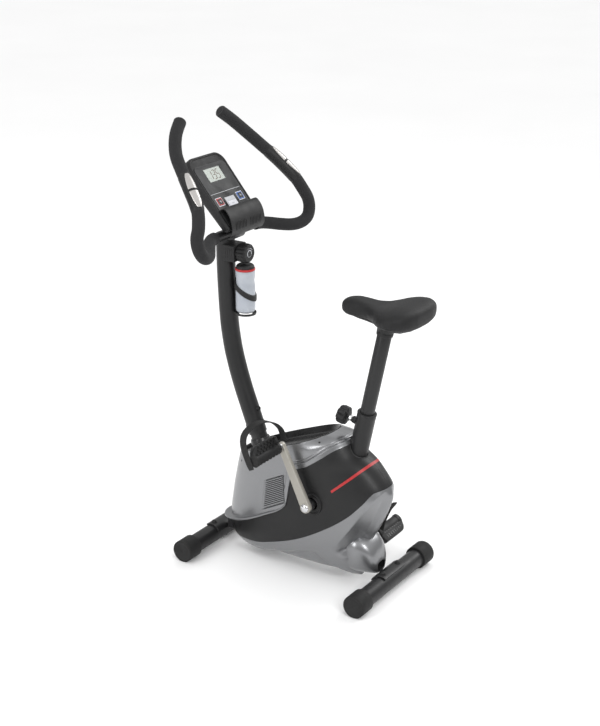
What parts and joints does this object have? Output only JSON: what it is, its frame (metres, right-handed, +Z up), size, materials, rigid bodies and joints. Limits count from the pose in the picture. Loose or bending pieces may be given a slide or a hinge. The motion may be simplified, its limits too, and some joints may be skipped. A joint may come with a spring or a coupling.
{
  "type": "exercise bike",
  "caption": "Free-standing upright exercise bike with belt-driven magnetic flywheel, sliding saddle post, tilting horned handlebar and display console.",
  "frame": {"origin": "on the floor under the middle of the bike's bounding box", "axes": "+X to the rider's left, -Y to the front (console end), +Z up"},
  "size_m": [0.531, 0.6963, 1.2102],
  "materials": {
    "black_paint": "satin powder coat",
    "black_plastic": "fine grained",
    "grey_plastic": "metallic silver-grey lacquer",
    "foam": "closed-cell foam",
    "vinyl": "smooth synthetic leather",
    "steel": "plated",
    "crank_alloy": "champagne silver lacquer",
    "iron": "machined",
    "rubber": "moulded",
    "bottle": "translucent",
    "display": "liquid crystal window",
    "white_plastic": "satin"
  },
  "bodies": {
    "frame": {"frame_spine": "black_paint", "post_socket": "black_paint", "seat_tube": "black_paint", "seat_liner": "black_plastic", "bottom_bracket": "black_paint", "front_saddle": "black_paint", "rear_saddle": "black_paint", "front_stabiliser": "black_paint", "rear_stabiliser": "black_paint", "front_cap_left": "rubber", "front_cap_right": "rubber", "rear_cap_left": "rubber", "rear_cap_right": "rubber", "front_post": "black_paint", "post_bolt_upper": "rubber", "post_bolt_lower": "rubber", "post_bolt_front": "rubber", "tension_bracket": "black_plastic", "water_bottle": "bottle", "bottle_cage": "black_plastic", "handlebar_clamp": "black_paint", "clamp_cover": "black_plastic", "console_housing": "black_plastic", "console_face": "black_plastic", "display": "display", "side_shell_left": "black_plastic", "side_shell_right": "black_plastic", "upper_cover_left": "grey_plastic", "upper_cover_right": "grey_plastic", "lower_skirt_left": "grey_plastic", "lower_skirt_right": "grey_plastic", "tail_cover": "grey_plastic", "top_tray": "black_plastic", "front_lip": "grey_plastic", "drive_belt": "rubber"},
    "crank": {"crank_axle": "steel", "crank_arm_left": "crank_alloy", "crank_arm_right": "crank_alloy", "drive_pulley": "black_plastic"},
    "left_pedal": {"pedal_left": "rubber", "strap_left": "rubber"},
    "right_pedal": {"pedal_right": "rubber", "strap_right": "rubber"},
    "flywheel_unit": {"flywheel": "iron", "flywheel_shaft": "steel"},
    "magnet": {"magnet_arm": "iron"},
    "knob": {"tension_knob": "black_plastic"},
    "seat": {"seat_post": "black_paint", "saddle_pan": "black_plastic", "saddle": "vinyl"},
    "pin": {"seat_pin": "black_plastic"},
    "handlebar": {"handlebar_tube": "black_paint", "grip_left": "foam", "grip_right": "foam", "pulse_sensor_left": "steel", "pulse_sensor_right": "steel"},
    "key_left": {"left_button": "black_plastic"},
    "key_right": {"right_button": "black_plastic"},
    "key_centre": {"centre_button": "white_plastic"},
    "hatch": {"battery_cover": "black_plastic"}
  },
  "joints": [
    {"name": "crank_spin", "type": "hinge", "parent": "frame", "child": "crank", "pos_m": [0, 0.072, 0.233], "axis": [1, 0, 0], "continuous": true},
    {"name": "pedal_left_spin", "type": "hinge", "parent": "crank", "child": "left_pedal", "pos_m": [0, -0.00444, 0.39042], "axis": [1, 0, 0], "continuous": true},
    {"name": "pedal_right_spin", "type": "hinge", "parent": "crank", "child": "right_pedal", "pos_m": [0, 0.14844, 0.07558], "axis": [1, 0, 0], "continuous": true},
    {"name": "flywheel_spin", "type": "hinge", "parent": "frame", "child": "flywheel_unit", "pos_m": [0, -0.057, 0.175], "axis": [1, 0, 0], "continuous": true},
    {"name": "tension_turn", "type": "hinge", "parent": "frame", "child": "knob", "pos_m": [0, -0.211, 0.851], "axis": [0, 1, 0], "range_deg": [0, 270]},
    {"name": "magnet_lift", "type": "hinge", "parent": "frame", "child": "magnet", "pos_m": [0, -0.0065, 0.26247], "axis": [-1, 0, 0], "range_deg": [0, 10]},
    {"name": "seat_height", "type": "slide", "parent": "frame", "child": "seat", "axis": [0, 0.207, 0.9783], "range_m": [-0.12, 0.09]},
    {"name": "pin_pull", "type": "slide", "parent": "frame", "child": "pin", "axis": [0, -0.9783, 0.207], "range_m": [0, 0.01], "stiffness_N_per_m": 1500, "springref_m": -0.002},
    {"name": "handlebar_tilt", "type": "hinge", "parent": "frame", "child": "handlebar", "pos_m": [0, -0.227, 0.905], "axis": [1, 0, 0], "range_deg": [-15, 15]},
    {"name": "left_key_press", "type": "slide", "parent": "frame", "child": "key_left", "axis": [0, -0.7632, -0.6462], "range_m": [0, 0.001], "stiffness_N_per_m": 1200, "springref_m": -0.0005},
    {"name": "right_key_press", "type": "slide", "parent": "frame", "child": "key_right", "axis": [0, -0.7632, -0.6462], "range_m": [0, 0.001], "stiffness_N_per_m": 1200, "springref_m": -0.0005},
    {"name": "centre_key_press", "type": "slide", "parent": "frame", "child": "key_centre", "axis": [0, -0.7632, -0.6462], "range_m": [0, 0.001], "stiffness_N_per_m": 1200, "springref_m": -0.0005},
    {"name": "hatch_slide", "type": "slide", "parent": "frame", "child": "hatch", "axis": [0, 0.6462, -0.7632], "range_m": [0, 0.02]}
  ],
  "couplings": [
    {"joint": "flywheel_spin", "follows": "crank_spin", "ratio": 7},
    {"joint": "pedal_left_spin", "follows": "crank_spin", "ratio": -1},
    {"joint": "pedal_right_spin", "follows": "crank_spin", "ratio": -1},
    {"joint": "magnet_lift", "follows": "tension_turn", "ratio": 0.037037}
  ]
}
